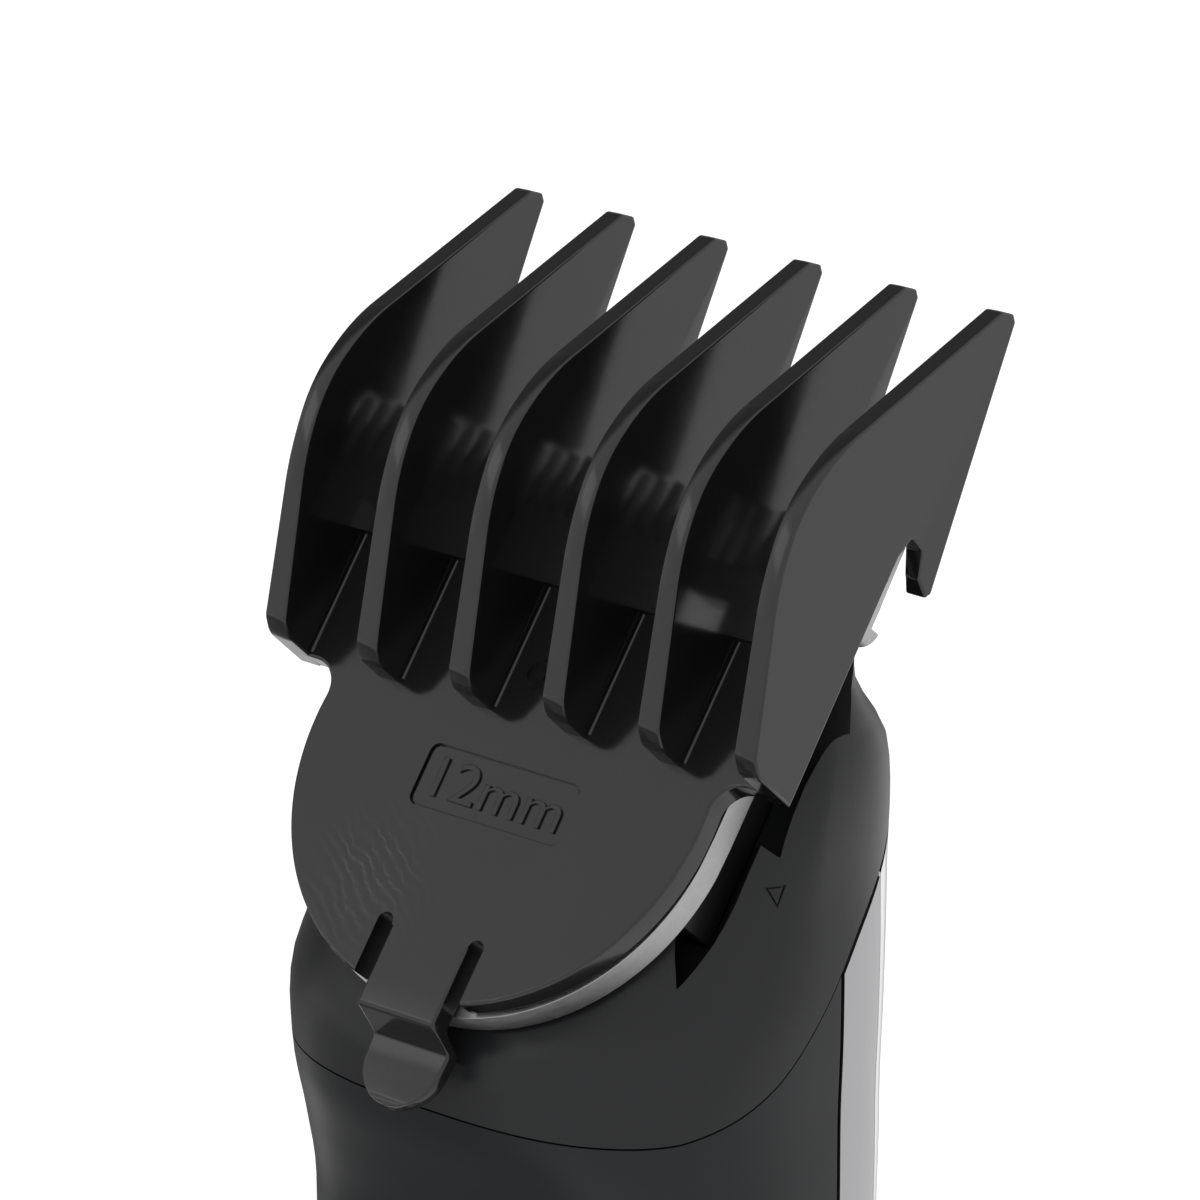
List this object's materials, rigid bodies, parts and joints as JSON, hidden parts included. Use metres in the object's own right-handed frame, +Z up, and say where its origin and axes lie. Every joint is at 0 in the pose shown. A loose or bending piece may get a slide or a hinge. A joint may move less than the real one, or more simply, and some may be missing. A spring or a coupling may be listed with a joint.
{
  "type": "hair clipper",
  "caption": "Cordless hair clipper with a wedge-shaped head, a toothed steel blade and a clip-on guide comb of tall tapered teeth on a slim upright grip",
  "frame": {"origin": "centre of the flat base that the clipper stands on, on the axis of the grip", "axes": "+Z up the grip towards the blade, -Y out of the front with the comb and the button, +X to the right as seen from the front"},
  "size_m": [0.042, 0.0399, 0.1744],
  "materials": {
    "comb_plastic": "gloss black moulding with slight flow marks",
    "head_plastic": "satin charcoal",
    "cover_plastic": "satin blue-black",
    "button_plastic": "semi-gloss black",
    "trim_metal": "satin silver",
    "blade_steel": "brushed",
    "blade_ceramic": "smooth white ceramic",
    "zinc_steel": "bright zinc plate",
    "contact_brass": "plain",
    "inner_nylon": "moulded grey nylon",
    "battery_wrap": "shrink wrap",
    "board_green": "solder mask",
    "lens_plastic": "milky clear"
  },
  "bodies": {
    "grip": {"base_cap": "cover_plastic", "head_housing": "head_plastic", "front_cover": "cover_plastic", "rear_cover": "cover_plastic", "side_strip_left": "trim_metal", "side_strip_right": "trim_metal", "fixed_blade": "blade_steel", "blade_carrier": "button_plastic", "blade_spring": "zinc_steel", "blade_screw_left": "zinc_steel", "blade_screw_right": "zinc_steel", "lever_pivot_pin": "zinc_steel", "motor_can": "zinc_steel", "motor_end_cap": "inner_nylon", "motor_mount": "zinc_steel", "motor_screw_left": "zinc_steel", "motor_screw_right": "zinc_steel", "chassis": "inner_nylon", "battery": "battery_wrap", "battery_contact_base": "contact_brass", "battery_contact_top": "contact_brass", "motor_contact_left": "contact_brass", "motor_contact_right": "contact_brass", "circuit_board": "board_green", "power_switch": "inner_nylon", "light_lens": "lens_plastic", "charging_socket": "zinc_steel", "case_screw_lower": "zinc_steel", "case_screw_upper": "zinc_steel"},
    "mover": {"moving_blade": "blade_ceramic"},
    "lever": {"drive_lever": "inner_nylon"},
    "rotor": {"motor_shaft": "zinc_steel", "eccentric_cam": "inner_nylon"},
    "comb": {"guide_comb": "comb_plastic"},
    "latch": {"comb_latch": "comb_plastic"},
    "button": {"power_button": "button_plastic", "button_flange": "inner_nylon"}
  },
  "joints": [
    {"name": "comb_tilt", "type": "hinge", "parent": "grip", "child": "comb", "pos_m": [0, 0.00748, 0.16085], "axis": [-1, 0, 0], "range_deg": [0, 30]},
    {"name": "latch_flex", "type": "hinge", "parent": "comb", "child": "latch", "pos_m": [0, -0.01651, 0.13567], "axis": [-1, 0, 0], "range_deg": [0, 8], "stiffness_Nm_per_rad": 0.2},
    {"name": "lever_swing", "type": "hinge", "parent": "grip", "child": "lever", "pos_m": [0, 0.0025, 0.135], "axis": [0, 1, 0], "range_deg": [-4.5, 4.5]},
    {"name": "blade_slide", "type": "slide", "parent": "grip", "child": "mover", "axis": [1, 0, 0], "range_m": [-0.0013, 0.0013]},
    {"name": "motor_spin", "type": "hinge", "parent": "grip", "child": "rotor", "pos_m": [0, 0.0025, 0.097], "axis": [0, 0, 1], "continuous": true},
    {"name": "button_press", "type": "slide", "parent": "grip", "child": "button", "axis": [0, 1, 0], "range_m": [0, 0.0005], "stiffness_N_per_m": 800}
  ],
  "couplings": [
    {"joint": "lever_swing", "follows": "blade_slide", "rad_per_m": 59.172}
  ]
}
